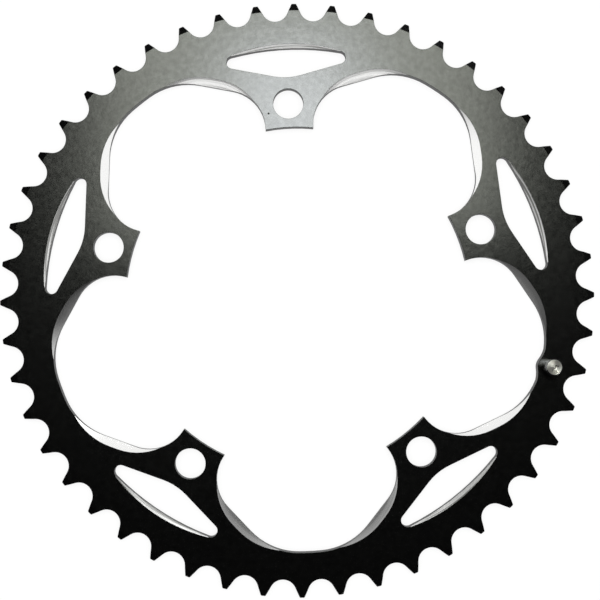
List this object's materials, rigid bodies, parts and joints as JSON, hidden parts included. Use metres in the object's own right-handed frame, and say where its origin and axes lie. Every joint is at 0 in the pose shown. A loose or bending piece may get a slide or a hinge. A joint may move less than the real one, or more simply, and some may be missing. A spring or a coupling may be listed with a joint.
{
  "type": "bicycle chainring",
  "caption": "Flat toothed ring with inward bolt arms, lightening windows, bright crescent bevels and a chain-catch pin; bolts to a crank spider and drives the chain.",
  "frame": {"origin": "centre of the ring on the plane of its inner face, the face that looks at the crank spider", "axes": "+Z along the crank axis, out of the outer face that carries the pin; +Y through one bolt arm"},
  "size_m": [0.197, 0.197, 0.0118],
  "materials": {
    "black_anodised_plate": "black anodised satin, with the bevels machined bright afterwards",
    "turned_steel": "bare turned steel"
  },
  "bodies": {
    "root": {"chainring": "black_anodised_plate", "chain_catch_pin": "turned_steel"}
  },
  "joints": []
}
